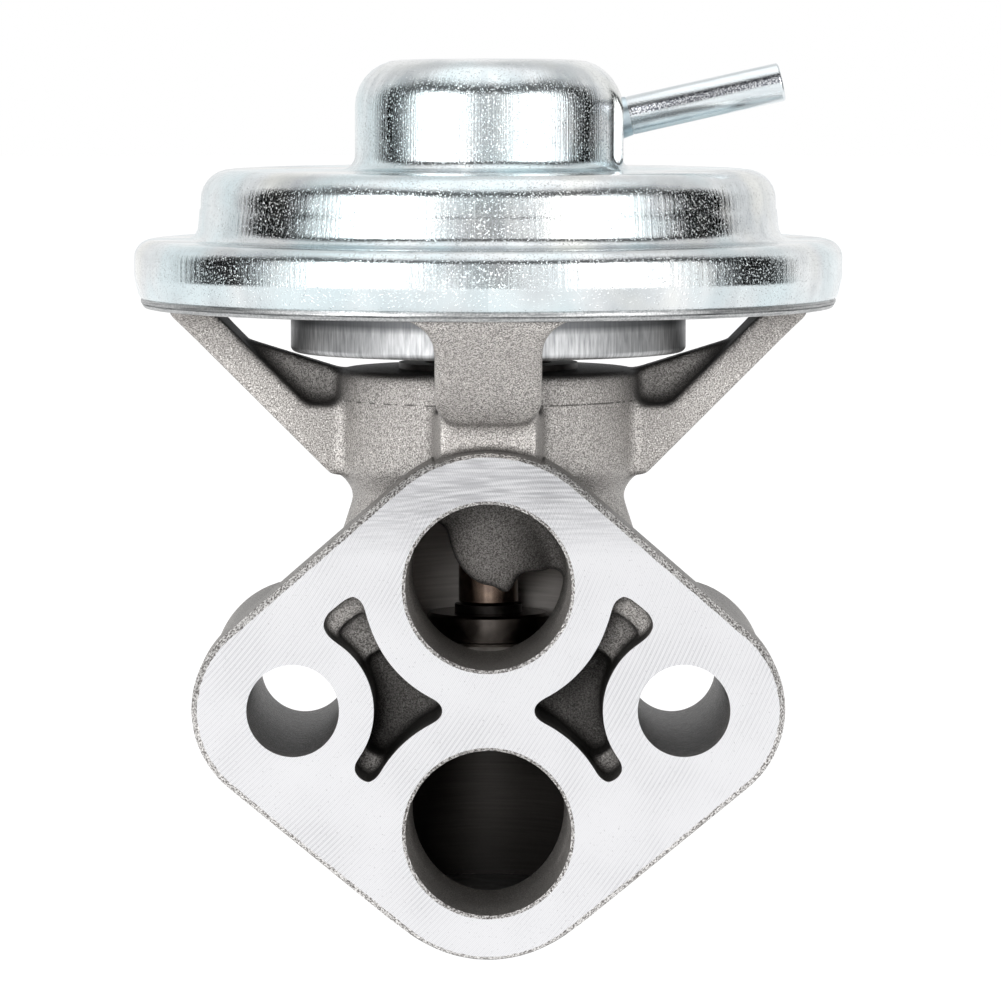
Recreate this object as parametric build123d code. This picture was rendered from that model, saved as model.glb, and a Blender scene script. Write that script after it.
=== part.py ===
from build123d import *
import math
import os

# Vacuum-operated exhaust gas recirculation valve, in millimetres.
# The origin is the centre of the bolt pattern, on the milled face of the flange.
# +X is to the right, +Y goes into the body and +Z is up, along the valve stem.

# Mounting flange and its two ports
bolt_spacing = 38.0
bolt_hole_radius = 4.5
bolt_boss_radius = 9.4
bolt_boss_depth = 40.0
port_pitch = 24.0
port_radius = 8.1
port_back_radius = 7.4
port_wall = 3.2
flange_thickness = 9.0
flange_bolt_wall = 5.2
flange_port_wall = 4.4
flange_top_wall = 5.0
flange_edge = 0.25

# Pockets in the flange face
pocket_arm_width = 2.5
pocket_wall_share = 0.54
pocket_upper_margin = 5.1
pocket_lower_margin = 8.7
pocket_corner = 1.1
pocket_centre_offset = 8.6
pocket_end_depth = 4.0
pocket_arm_depth = 7.0
pocket_heart_depth = 12.0
pocket_arm_reach = 9.4
pocket_heart_reach = 5.6

# Cast body round the valve axis
axis_depth = 25.0
neck_radius = 15.3
neck_top = 32.0
neck_length = 9.8
neck_edge = 0.5
waist_radius = 13.5
waist_drop = 2.8
skirt_radius = 15.4
skirt_drop = 5.8
barrel_radius = 12.6
barrel_chamfer = 2.0

# Arms that carry the vacuum can
arm_count = 4
arm_width = 10.4
arm_rise = 7.2
arm_lip_gap = 0.5
arm_lean = 0.6
arm_thickness = 3.3
arm_shelf_drop = 3.4
arm_foot_drop = 0.7
arm_flare = 3.3
arm_flare_width = 17.4
arm_flare_edge = 1.0
web_width = 3.6
web_rise = 3.0
tongue_drop = 4.4
tongue_corner = 2.4
rib_setback = 1.0
rib_front_width = 9.4
rib_draft = 7.2

# Valve bore, seat, plug and the cast hood in the upper port
seat_outer_radius = 9.2
seat_bore_radius = 5.4
seat_depth = 4.0
seat_chamfer = 0.8
chamber_radius = 8.8
chamber_headroom = 0.5
plug_depth = 2.6
plug_sheet = 1.0
hood_edge_wall = 0.5
hood_top_wall = 2.4
wall_overrun = 1.0

# Stem, head and what guides them
stem_radius = 3.0
running_clearance = 0.05
head_radius = 6.2
head_height = 3.6
head_edge = 0.3
head_gap = 0.06
spigot_radius = 2.0
collar_radius = 3.4
collar_height = 0.8
guide_wall = 2.0
guide_drop = 2.6
seal_pocket_radius = 7.0
seal_pocket_depth = 5.0
seal_height = 2.6
retainer_sheet = 0.6
retainer_flange_radius = 9.0
retainer_hole_clearance = 0.5

# Drawn steel can
sheet = 1.0
dome_radius = 13.4
dome_rise = 11.1
dome_corner = 4.8
tier_inset = 6.7
tier_rise = 7.0
tier_draft = 0.4
tier_corner = 3.0
rim_radius = 35.6
rim_rise = 5.8
rim_wall = 4.0
rim_corner = 1.8
rim_foot_inset = 0.8
rim_foot_corner = 1.2
rim_lip_inset = 2.8
inner_bend = 1.4
cover_clearance = 1.1
cup_radius = 19.9
cup_gap = 1.1
cup_corner = 0.6
cup_bend = 0.6
cup_hole_clearance = 1.2
vent_radius = 1.5
vent_circle = 14.0
vent_count = 3

# Flat pad, tube and braze of the vacuum nipple
pad_standout = 0.1
pad_width = 11.0
pad_rise = 8.4
pad_corner = 1.2
nipple_radius = 1.95
nipple_bore_radius = 1.2
nipple_tilt = 12.6
nipple_rise = 5.2
nipple_length = 16.4
nipple_root_radius = 1.75
nipple_root_depth = 2.2
braze_width = 0.6
braze_height = 0.9

# Diaphragm and plates on the upper end of the stem
bead_clearance = 0.9
bead_width = 2.4
membrane = 0.8
membrane_drop = 0.4
membrane_hole_clearance = 0.3
roll_clearance = 0.6
roll_width = 4.2
roll_height = 4.0
roll_corner = 1.8
roll_bend = 0.6
plate_clearance = 0.8
plate_inset = 0.7
plate_sheet = 1.0
thread_radius = 2.4
washer_radius = 5.4
washer_thickness = 0.8
nut_width = 8.0
nut_height = 3.2
thread_stickout = 0.8
valve_lift = 4.5
lift_clearance = 0.9

# Return spring and its seats
spring_radius = 9.8
spring_wire = 1.7
spring_turns = 5.5
spring_lip_clearance = 0.6
spring_lip_height = 1.7
spring_seat_overlap = 1.1
spring_seat_edge = 0.9

# Screws between the lower cover and the arms
screw_edge = 3.3
screw_radius = 1.25
screw_depth = 2.0
screw_head_radius = 2.2
screw_head_height = 1.4

# Radii and reaches that follow from the rim
tier_radius = rim_radius - tier_inset
rim_foot_radius = rim_radius - rim_foot_inset
rim_lip_radius = rim_radius - rim_lip_inset
cover_reach = rim_radius - sheet - cover_clearance
bead_outer_radius = rim_radius - sheet - bead_clearance
roll_outer_radius = tier_radius - sheet - roll_clearance
roll_inner_radius = roll_outer_radius - roll_width
plate_radius = roll_inner_radius - plate_inset
arm_reach = rim_lip_radius - arm_lip_gap
screw_circle = arm_reach - screw_edge
pad_face = dome_radius + pad_standout

# Levels and places that follow from the sizes above
bolt_x = bolt_spacing / 2
port_z = port_pitch / 2
flange_bolt_corner = bolt_hole_radius + flange_bolt_wall
flange_port_corner = port_radius + flange_port_wall
pocket_walls = math.hypot(bolt_x, port_z) - port_radius - bolt_hole_radius - pocket_arm_width
pocket_port_radius = port_radius + pocket_walls * pocket_wall_share
pocket_bolt_radius = bolt_hole_radius + pocket_walls * (1 - pocket_wall_share)
arm_top = neck_top + arm_rise
arm_outer_offset = arm_top - rim_lip_radius - arm_lean
arm_inner_offset = arm_outer_offset + arm_thickness * math.sqrt(2)
arm_shelf_height = neck_top - arm_shelf_drop
tongue_height = neck_top - tongue_drop
neck_foot = neck_top - neck_length
waist_height = neck_foot - waist_drop
skirt_height = waist_height - skirt_drop
body_core = chamber_radius + guide_wall
seat_top = port_z - port_back_radius
seat_bottom = seat_top - seat_depth
chamber_top = port_z + port_radius + chamber_headroom
guide_bottom = chamber_top - guide_drop
seal_bottom = neck_top - seal_pocket_depth
seal_top = seal_bottom + seal_height
barrel_bottom = -port_z - port_radius - port_wall
plug_top = barrel_bottom + plug_depth
head_bottom = seat_top - seat_chamfer - running_clearance
head_top = head_bottom + head_height
stem_foot = head_top + collar_height
cup_bottom = neck_top + retainer_sheet + cup_gap
floor_top = arm_top + sheet
plate_bottom = floor_top + plate_clearance
membrane_bottom = plate_bottom + plate_sheet
membrane_top = membrane_bottom + membrane
cup_plate_top = membrane_top + plate_sheet
washer_top = cup_plate_top + washer_thickness
nut_top = washer_top + nut_height
rim_height = arm_top + rim_rise
rim_ceiling = rim_height - sheet
tier_height = rim_height + tier_rise
plate_rim_top = tier_height - sheet - lift_clearance - valve_lift
can_top = tier_height + dome_rise
dome_ceiling = can_top - sheet
spring_top = dome_ceiling - sheet
spring_lip_radius = spring_radius - spring_wire / 2 - spring_lip_clearance

valve_axis = Pos(0, axis_depth, 0)

# Ways in which a block or bar stands on its own origin
standing = (Align.CENTER, Align.CENTER, Align.MIN)
hanging = (Align.CENTER, Align.CENTER, Align.MAX)
outstretched = (Align.MIN, Align.CENTER, Align.MIN)


def turned(*outline):
    """Turn a closed outline of (radius, height) points about the valve axis."""
    face = make_face(Polyline(*outline, close=True))
    return valve_axis * revolve(Plane.XZ * face, Axis.Z)


def tube(outer, inner, bottom, top):
    """Plain ring on the valve axis."""
    return turned((inner, bottom), (outer, bottom), (outer, top), (inner, top))


def disc(radius, bottom, top):
    """Plain disc on the valve axis."""
    return tube(radius, 0, bottom, top)


def bent_sheet(corners, bends, thickness):
    """Sheet bent along (radius, height) corners and turned about the valve axis.

    The corners are its outer side, and the thickness lies to their right."""
    line = FilletPolyline(*corners, radius=bends)
    face = make_face(offset(line, amount=thickness, side=Side.RIGHT).edges())
    return valve_axis * revolve(Plane.XZ * face, Axis.Z)


def sunk(face, depth):
    """Push a face drawn in X and Z into the body, from the flange face to a depth behind it."""
    return extrude(Plane.XZ * face, -depth)


def belt(*circles):
    """Face inside a belt pulled round circles (x, y, radius), listed anticlockwise."""
    ring = list(circles) + [circles[0]]
    normals = []
    for (x1, y1, r1), (x2, y2, r2) in zip(ring, ring[1:]):
        span = Vector(x2 - x1, y2 - y1)
        lean = math.degrees(math.asin((r1 - r2) / span.length))
        normals.append(span.normalized().rotate(Axis.Z, lean - 90))
    edges = []
    for i, (x, y, r) in enumerate(circles):
        here = Vector(x, y)
        before, after = normals[i - 1], normals[i]
        turn = (math.degrees(math.atan2(before.cross(after).Z, before.dot(after)))) % 360
        middle = before.rotate(Axis.Z, turn / 2)
        there_x, there_y, there_r = ring[i + 1]
        there = Vector(there_x, there_y) + after * there_r
        edges.append(ThreePointArc(here + before * r, here + middle * r, here + after * r))
        edges.append(Line(here + after * r, there))
    return make_face(edges)


def on_arms(shape):
    """Copies of a shape made on the right of the axis, one for each arm, with the front one first."""
    turns = [360 / arm_count * i - 90 for i in range(arm_count)]
    return [valve_axis * Rot(0, 0, turn) * shape for turn in turns]


def flange():
    """Rounded rhombus round the bolt holes and the ports, with a cast edge."""
    outline = belt(
        (0, -port_z, flange_port_corner),
        (bolt_x, 0, flange_bolt_corner),
        (0, port_z, port_radius + flange_top_wall),
        (-bolt_x, 0, flange_bolt_corner),
    )
    plate = sunk(outline, flange_thickness)
    front = plate.faces().sort_by(Axis.Y)[0]
    return chamfer(front.edges(), flange_edge)


def pocket():
    """Bone-shaped pocket right of the ports, shallow at its ends and deepest in the middle."""
    span = Vector(-bolt_x, port_z)
    lean = math.degrees(math.asin((flange_bolt_corner - flange_port_corner) / span.length))
    edge_normal = span.normalized().rotate(Axis.Z, lean - 90)
    edge_distance = edge_normal.dot(Vector(0, port_z)) + flange_port_corner
    tilt = math.degrees(math.atan2(edge_normal.Y, edge_normal.X))
    face = Pos(bolt_x / 2, 0) * Rectangle(bolt_x, port_pitch)
    beyond = Rectangle(port_pitch, 2 * bolt_spacing, align=(Align.MIN, Align.CENTER))
    for turn, margin in ((tilt, pocket_upper_margin), (-tilt, pocket_lower_margin)):
        face -= Rot(0, 0, turn) * Pos(edge_distance - margin, 0) * beyond
    for height in (port_z, -port_z):
        face -= Pos(0, height) * Circle(pocket_port_radius)
    face -= Pos(bolt_x, 0) * Circle(pocket_bolt_radius)
    core = offset(face, amount=-pocket_corner).faces().sort_by_distance((pocket_centre_offset, 0))[0]
    face = offset(core, amount=pocket_corner)
    centre = Pos(pocket_centre_offset, 0)
    cut = sunk(face, pocket_end_depth)
    cut += sunk(face & centre * Circle(pocket_arm_reach), pocket_arm_depth)
    cut += sunk(face & centre * Circle(pocket_heart_reach), pocket_heart_depth)
    return cut


def arm_mask(bottom, corner):
    """Front outline of an arm, seen along its radius: straight sides that flare under the can."""
    bar = Pos(0, arm_top) * Rectangle(arm_flare_width, arm_flare_edge, align=(Align.CENTER, Align.MAX))
    post = Pos(0, bottom) * Rectangle(arm_width, arm_top - bottom, align=(Align.CENTER, Align.MIN))
    outline = bar + post
    roots = outline.vertices().group_by(Axis.Y)[1].sort_by(Axis.X)[1:3]
    outline = fillet(roots, arm_flare)
    if corner:
        outline = fillet(outline.vertices().group_by(Axis.Y)[0], corner)
    return extrude(Plane.YZ * outline, arm_reach + sheet)


def arm_strip(bottom):
    """Outer strip of an arm at 45 degrees, from its foot under the can down to the given height."""
    profile = Polyline(
        (arm_top - arm_inner_offset, arm_top),
        (arm_reach, arm_top),
        (arm_reach, arm_reach + arm_outer_offset),
        (bottom - arm_outer_offset, bottom),
        (body_core, bottom),
        (body_core, arm_shelf_height),
        (arm_shelf_height - arm_inner_offset, arm_shelf_height),
        close=True,
    )
    return extrude(Plane.XZ * make_face(profile), arm_width, both=True)


def arm_web():
    """Thin web behind the strip, with a top edge that slopes down to the neck."""
    web_top = neck_top + web_rise
    profile = Polyline(
        (body_core, arm_shelf_height),
        (arm_shelf_height - arm_inner_offset, arm_shelf_height),
        (web_top - arm_inner_offset, web_top),
        (neck_radius - neck_edge, neck_top),
        (body_core, neck_top),
        close=True,
    )
    return extrude(Plane.XZ * make_face(profile), web_width / 2, both=True)


def arm(is_front):
    """One arm on the right of the axis; the front one ends in a rounded tongue above a rib."""
    reach = Pos(0, 0, port_z) * Cylinder(arm_reach, arm_top - port_z, align=standing)
    if not is_front:
        foot = neck_foot - arm_foot_drop
        strip = arm_strip(foot) & arm_mask(foot, 0) & reach
        return strip + arm_web()
    tongue = arm_strip(tongue_height) & arm_mask(tongue_height, tongue_corner) & reach
    rib_front = tongue_height - arm_outer_offset - rib_setback
    half_front = rib_front_width / 2
    half_back = half_front + (rib_front - body_core) * math.tan(math.radians(rib_draft))
    outline = Polyline(
        (rib_front, -half_front),
        (rib_front, half_front),
        (body_core, half_back),
        (body_core, -half_back),
        close=True,
    )
    rib = Pos(0, 0, port_z) * extrude(make_face(outline), arm_shelf_height - port_z)
    return tongue + arm_web() + rib


def tunnel(height):
    """Port from the flange face to the valve axis: a bored mouth, then a tapered cast bore."""
    profile = Polyline(
        (0, -flange_thickness),
        (port_radius, -flange_thickness),
        (port_radius, flange_thickness),
        (port_back_radius, axis_depth),
        (0, axis_depth),
        close=True,
    )
    return Pos(0, 0, height) * revolve(make_face(profile), Axis.Y)


def hood():
    """Cast wall that hangs in front of the stem in the upper port, with a ragged lower edge."""
    wall = turned(
        (chamber_radius, seat_top),
        (chamber_radius + hood_edge_wall, seat_top),
        (chamber_radius + hood_top_wall, chamber_top),
        (chamber_radius, chamber_top),
    )
    ragged = [
        (-5.4, 0.4),
        (-4.3, -3.2),
        (-3.0, -7.6),
        (-1.9, -8.9),
        (-0.6, -9.7),
        (0.8, -10.0),
        (1.7, -10.6),
        (2.5, -9.9),
        (3.0, -8.6),
        (4.4, -8.5),
        (5.8, -8.4),
        (7.4, -7.4),
        (chamber_radius, -6.6),
    ]
    edge = Spline(*ragged)
    close = Polyline(ragged[-1], (chamber_radius, wall_overrun), ragged[0])
    window = sunk(Pos(0, chamber_top) * make_face([edge, close]), axis_depth)
    return wall & window


def valve_body():
    """Casting with the flange, bolt bosses, port block, neck and arms, and its machined bores."""
    bolts = [Pos(-bolt_x, 0, 0), Pos(bolt_x, 0, 0)]
    bosses = [bolt * sunk(Circle(bolt_boss_radius), bolt_boss_depth) for bolt in bolts]
    block_radius = port_radius + port_wall
    block = sunk(belt((0, -port_z, block_radius), (0, port_z, block_radius)), axis_depth)
    barrel = turned(
        (0, barrel_bottom),
        (barrel_radius - barrel_chamfer, barrel_bottom),
        (barrel_radius, barrel_bottom + barrel_chamfer),
        (barrel_radius, 0),
        (skirt_radius, skirt_height),
        (waist_radius, waist_height),
        (neck_radius, neck_foot),
        (neck_radius, neck_top - neck_edge),
        (neck_radius - neck_edge, neck_top),
        (0, neck_top),
    )
    arms = on_arms(arm(is_front=True))[:1] + on_arms(arm(is_front=False))[1:]
    body = barrel + block + bosses + flange() + arms
    body -= [tunnel(-port_z), tunnel(port_z)]
    body += hood()
    body -= disc(seat_outer_radius, barrel_bottom, seat_top)
    body -= disc(chamber_radius, seat_top, chamber_top)
    body -= disc(stem_radius + guide_wall, chamber_top, seal_bottom)
    body -= disc(seal_pocket_radius, seal_bottom, neck_top)
    body -= [pocket(), mirror(pocket(), Plane.YZ)]
    body -= [bolt * sunk(Circle(bolt_hole_radius), bolt_boss_depth) for bolt in bolts]
    body -= on_arms(Pos(screw_circle, 0, arm_top) * screw_shank(screw_depth))
    return body


def valve_seat():
    """Hard seat ring, pressed in from below, with a 45 degree seating cone."""
    return turned(
        (seat_bore_radius, seat_bottom),
        (seat_outer_radius, seat_bottom),
        (seat_outer_radius, seat_top),
        (seat_bore_radius + seat_chamfer, seat_top),
        (seat_bore_radius, seat_top - seat_chamfer),
    )


def core_plug():
    """Pressed cup that closes the bore under the lower port."""
    return turned(
        (0, plug_top - plug_sheet),
        (seat_outer_radius - plug_sheet, plug_top - plug_sheet),
        (seat_outer_radius - plug_sheet, barrel_bottom),
        (seat_outer_radius, barrel_bottom),
        (seat_outer_radius, plug_top),
        (0, plug_top),
    )


def guide_bush():
    """Bush for the stem, which stands a little below the chamber's ceiling."""
    return tube(stem_radius + guide_wall, stem_radius + running_clearance, guide_bottom, seal_bottom)


def stem_seal():
    """Seal ring above the bush."""
    return tube(seal_pocket_radius, stem_radius + running_clearance, seal_bottom, seal_top)


def seal_retainer():
    """Pressed cap over the seal, with a flange that lies on the neck."""
    hole = stem_radius + retainer_hole_clearance
    return turned(
        (hole, seal_top),
        (seal_pocket_radius, seal_top),
        (seal_pocket_radius, neck_top),
        (retainer_flange_radius, neck_top),
        (retainer_flange_radius, neck_top + retainer_sheet),
        (seal_pocket_radius - retainer_sheet, neck_top + retainer_sheet),
        (seal_pocket_radius - retainer_sheet, seal_top + retainer_sheet),
        (hole, seal_top + retainer_sheet),
    )


def valve_stem():
    """Ground stem with a spigot for the head and a thread for the plates."""
    thread_top = nut_top + thread_stickout
    return turned(
        (0, head_top),
        (spigot_radius, head_top),
        (spigot_radius, stem_foot),
        (stem_radius - head_edge, stem_foot),
        (stem_radius, stem_foot + head_edge),
        (stem_radius, plate_bottom),
        (thread_radius, plate_bottom),
        (thread_radius, thread_top - head_edge),
        (thread_radius - head_edge, thread_top),
        (0, thread_top),
    )


def valve_head():
    """Poppet disc whose cone closes on the seat."""
    cone = seat_bore_radius - seat_top + seat_chamfer - head_gap * math.sqrt(2)
    return turned(
        (0, head_bottom),
        (cone + head_bottom, head_bottom),
        (head_radius, head_radius - cone),
        (head_radius, head_top - head_edge),
        (head_radius - head_edge, head_top),
        (0, head_top),
    )


def head_collar():
    """Ring between the head and the foot of the stem."""
    return tube(collar_radius, spigot_radius, head_top, stem_foot)


def nipple_plane():
    """Plane square to the nipple, where its axis meets the pad."""
    tilt = math.radians(nipple_tilt)
    root = (pad_face, axis_depth, tier_height + nipple_rise)
    return Plane(origin=root, x_dir=(0, 1, 0), z_dir=(math.cos(tilt), 0, math.sin(tilt)))


def nipple_bar(radius, start, end):
    """Round bar along the nipple's axis, measured from the pad."""
    bar = Cylinder(radius, end - start, align=standing)
    return nipple_plane() * Pos(0, 0, start) * bar


def upper_cover():
    """Stepped can half: dome, tier and a rim that is curled under the lower cover."""
    shell = bent_sheet(
        [
            (0, can_top),
            (dome_radius, can_top),
            (dome_radius, tier_height),
            (tier_radius, tier_height),
            (tier_radius + tier_draft, rim_height),
            (rim_radius, rim_height),
            (rim_radius, rim_height - rim_wall),
            (rim_foot_radius, arm_top - sheet),
            (rim_lip_radius, arm_top - sheet),
        ],
        [dome_corner, inner_bend, tier_corner, inner_bend, rim_corner, rim_corner, rim_foot_corner],
        sheet,
    )
    pad = Box(pad_face, pad_width, pad_rise + sheet, align=outstretched)
    pad = Pos(0, axis_depth, tier_height - sheet) * pad
    outer_edges = pad.edges().filter_by(Axis.Z).group_by(Axis.X)[-1]
    pad = fillet(outer_edges, pad_corner)
    pad -= disc(dome_radius - sheet, tier_height - sheet, can_top)
    return shell + pad - nipple_bar(nipple_root_radius, -dome_radius, pad_face)


def vacuum_nipple():
    """Tube for the vacuum hose, reduced where it goes through the pad."""
    tube_outside = nipple_bar(nipple_radius, braze_height, nipple_length)
    root = nipple_bar(nipple_root_radius, -nipple_root_depth, braze_height)
    bore = nipple_bar(nipple_bore_radius, -nipple_root_depth, nipple_length)
    return tube_outside + root - bore


def nipple_braze():
    """Braze ring where the tube leaves the pad."""
    ring = nipple_bar(nipple_radius + braze_width, -nipple_root_depth, braze_height)
    ring -= nipple_bar(nipple_root_radius, -nipple_root_depth, braze_height)
    behind_pad = Box(2 * pad_face, pad_width, dome_rise, align=standing)
    return ring - Pos(0, axis_depth, tier_height) * behind_pad


def lower_cover():
    """Dish under the diaphragm with a cup for the stem, screw holes and vents."""
    hole = stem_radius + cup_hole_clearance
    dish = bent_sheet(
        [(cover_reach, arm_top), (cup_radius, arm_top), (cup_radius, cup_bottom), (hole, cup_bottom)],
        [cup_bend, cup_corner],
        sheet,
    )
    dish -= on_arms(Pos(screw_circle, 0, arm_top + sheet) * screw_shank(sheet))
    vent = Cylinder(vent_radius, 2 * sheet)
    for i in range(vent_count):
        turn = 360 / vent_count * i
        dish -= valve_axis * Rot(0, 0, turn) * Pos(0, vent_circle, cup_bottom + sheet / 2) * vent
    return dish


def screw_shank(depth):
    """Screw shank that hangs down from the origin."""
    return Cylinder(screw_radius, depth, align=hanging)


def cover_screws():
    """Short screws from inside the can into the arms."""
    head = Cylinder(screw_head_radius, screw_head_height, align=standing)
    top_edge = head.edges().sort_by(Axis.Z)[-1]
    screw = chamfer(top_edge, head_edge) + screw_shank(screw_depth + sheet)
    return Compound(on_arms(Pos(screw_circle, 0, floor_top) * screw))


def diaphragm():
    """Rubber diaphragm: clamped bead, one rolled fold and a flat centre between the plates."""
    bead_inner = bead_outer_radius - bead_width
    fold = bent_sheet(
        [
            (thread_radius + membrane_hole_clearance, membrane_top),
            (roll_inner_radius, membrane_top),
            (roll_inner_radius, membrane_top + roll_height),
            (roll_outer_radius, membrane_top + roll_height),
            (roll_outer_radius, rim_ceiling - membrane_drop),
            (bead_inner + bead_width / 2, rim_ceiling - membrane_drop),
        ],
        [roll_bend, roll_corner, roll_corner, roll_bend],
        membrane,
    )
    return fold + tube(bead_outer_radius, bead_inner, floor_top, rim_ceiling)


def lower_plate():
    """Plate that carries the diaphragm on the stem's shoulder."""
    return tube(plate_radius, thread_radius, plate_bottom, membrane_bottom)


def upper_plate():
    """Spring cup on the diaphragm, with an upturned rim and a lip that centres the spring."""
    rim = plate_radius - plate_sheet
    lip = spring_lip_radius - plate_sheet
    return turned(
        (thread_radius, membrane_top),
        (plate_radius, membrane_top),
        (plate_radius, plate_rim_top),
        (rim, plate_rim_top),
        (rim, cup_plate_top),
        (spring_lip_radius, cup_plate_top),
        (spring_lip_radius, cup_plate_top + spring_lip_height),
        (lip, cup_plate_top + spring_lip_height),
        (lip, cup_plate_top),
        (thread_radius, cup_plate_top),
    )


def spring_seat():
    """Ring under the dome that centres the upper end of the spring."""
    outer = spring_radius + spring_seat_overlap
    lip = spring_lip_radius - sheet
    flat = dome_radius - dome_corner
    return turned(
        (lip, dome_ceiling),
        (lip, spring_top - spring_lip_height),
        (spring_lip_radius, spring_top - spring_lip_height),
        (spring_lip_radius, spring_top),
        (outer, spring_top),
        (outer, dome_ceiling - spring_seat_edge),
        (flat, dome_ceiling),
    )


def plate_washer():
    """Washer under the nut."""
    return tube(washer_radius, thread_radius, cup_plate_top, washer_top)


def stem_nut():
    """Hexagon nut that clamps the plates."""
    hexagon = RegularPolygon(nut_width / 2, 6, major_radius=False) - Circle(thread_radius)
    return valve_axis * Pos(0, 0, washer_top) * extrude(hexagon, nut_height)


def return_spring():
    """Round-wire coil spring with its ends ground flat on the two seats."""
    length = spring_top - cup_plate_top
    pitch = length / spring_turns
    path = Helix(pitch, length, spring_radius)
    section = Plane(origin=path @ 0, z_dir=path % 0) * Circle(spring_wire / 2)
    coil = valve_axis * Pos(0, 0, cup_plate_top) * sweep(section, path, is_frenet=True)
    keep = spring_radius + spring_wire
    return coil & disc(keep, cup_plate_top, spring_top)


nodes = {
    "valve_body": valve_body,
    "valve_seat": valve_seat,
    "core_plug": core_plug,
    "guide_bush": guide_bush,
    "stem_seal": stem_seal,
    "seal_retainer": seal_retainer,
    "valve_stem": valve_stem,
    "valve_head": valve_head,
    "head_collar": head_collar,
    "lower_cover": lower_cover,
    "cover_screws": cover_screws,
    "diaphragm": diaphragm,
    "lower_plate": lower_plate,
    "upper_plate": upper_plate,
    "plate_washer": plate_washer,
    "stem_nut": stem_nut,
    "return_spring": return_spring,
    "spring_seat": spring_seat,
    "upper_cover": upper_cover,
    "vacuum_nipple": vacuum_nipple,
    "nipple_braze": nipple_braze,
}

os.makedirs("parts", exist_ok=True)
for name, make in nodes.items():
    export_step(make(), f"parts/{name}.step")
    print(name)
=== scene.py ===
import math
from contextlib import contextmanager

import bmesh
import bpy
import numpy
from mathutils import Matrix, Vector


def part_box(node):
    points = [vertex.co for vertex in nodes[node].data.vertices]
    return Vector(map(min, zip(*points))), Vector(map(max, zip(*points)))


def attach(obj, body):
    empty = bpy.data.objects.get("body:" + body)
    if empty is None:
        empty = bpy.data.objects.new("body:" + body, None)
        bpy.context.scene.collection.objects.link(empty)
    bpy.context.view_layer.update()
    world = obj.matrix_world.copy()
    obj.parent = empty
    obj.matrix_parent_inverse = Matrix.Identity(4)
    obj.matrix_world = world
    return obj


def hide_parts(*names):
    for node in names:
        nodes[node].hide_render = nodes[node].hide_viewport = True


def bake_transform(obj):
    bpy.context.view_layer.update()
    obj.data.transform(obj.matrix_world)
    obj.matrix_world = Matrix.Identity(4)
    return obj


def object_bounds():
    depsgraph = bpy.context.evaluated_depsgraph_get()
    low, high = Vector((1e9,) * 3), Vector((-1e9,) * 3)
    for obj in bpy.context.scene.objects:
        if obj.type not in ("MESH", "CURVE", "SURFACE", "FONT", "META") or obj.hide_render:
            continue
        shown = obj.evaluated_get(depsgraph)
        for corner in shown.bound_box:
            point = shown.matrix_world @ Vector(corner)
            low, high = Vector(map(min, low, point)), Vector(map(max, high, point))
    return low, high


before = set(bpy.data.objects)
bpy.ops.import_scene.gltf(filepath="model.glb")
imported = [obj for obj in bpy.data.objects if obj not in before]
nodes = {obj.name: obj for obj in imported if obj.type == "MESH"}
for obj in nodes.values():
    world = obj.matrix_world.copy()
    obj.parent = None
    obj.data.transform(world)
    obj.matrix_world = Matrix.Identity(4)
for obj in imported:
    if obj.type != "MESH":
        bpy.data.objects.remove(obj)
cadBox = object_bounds()
print("frame loaded:", len(nodes), "nodes")

mm = 0.001
valveAxis = Vector((0, 0.025, 0))  # the stem's axis runs straight up through this point


def linear(code):
    parts = [int(code[i:i + 2], 16) / 255 for i in (1, 3, 5)]
    flat = [c / 12.92 if c <= 0.04045 else ((c + 0.055) / 1.055) ** 2.4 for c in parts]
    return (*flat, 1.0)


def addNode(tree, kind, settings=None, links=None):
    node = tree.nodes.new(kind)
    for key, value in (settings or {}).items():
        if isinstance(key, int) or key in node.inputs:
            node.inputs[key].default_value = value
        else:
            setattr(node, key, value)
    for key, socket in (links or {}).items():
        tree.links.new(socket, node.inputs[key])
    return node


def newMaterial(name):
    material = bpy.data.materials.new(name)
    material.use_nodes = True
    tree = material.node_tree
    tree.nodes.clear()
    place = addNode(tree, "ShaderNodeTexCoord").outputs["Object"]
    return material, tree, place


def finishMaterial(material, colour, normal, metallic, roughness):
    settings, links = {"Metallic": metallic}, {"Base Color": colour, "Normal": normal}
    target = links if isinstance(roughness, bpy.types.NodeSocket) else settings  # a pattern or a number
    target["Roughness"] = roughness
    tree = material.node_tree
    shader = addNode(tree, "ShaderNodeBsdfPrincipled", settings, links)
    addNode(tree, "ShaderNodeOutputMaterial", {}, {"Surface": shader.outputs[0]})
    return material


def noiseAt(tree, place, size, detail=2.0, stretch=(1, 1, 1)):
    # size is in millimetres, the coordinates in metres
    scale = tuple(s / (size * mm) for s in stretch)
    mapped = addNode(tree, "ShaderNodeMapping", {"Scale": scale}, {"Vector": place})
    noise = addNode(
        tree, "ShaderNodeTexNoise", {"Scale": 1.0, "Detail": detail}, {"Vector": mapped.outputs[0]}
    )
    return noise.outputs[0]


def remap(tree, value, low, high, toLow, toHigh):
    node = addNode(
        tree, "ShaderNodeMapRange",
        {"From Min": low, "From Max": high, "To Min": toLow, "To Max": toHigh},
        {"Value": value},
    )
    return node.outputs[0]


def allOf(tree, share, *others):
    # a share that holds only where all of these do
    for other in others:
        share = addNode(tree, "ShaderNodeMath", {"operation": "MULTIPLY"}, {0: share, 1: other}).outputs[0]
    return share


def mixColour(tree, share, first, second):
    node = addNode(tree, "ShaderNodeMix", {"data_type": "RGBA"}, {"Factor": share})
    for socket, value in ((node.inputs[6], first), (node.inputs[7], second)):
        if isinstance(value, str):
            socket.default_value = linear(value)
        else:
            tree.links.new(value, socket)
    return node.outputs[2]


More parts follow.
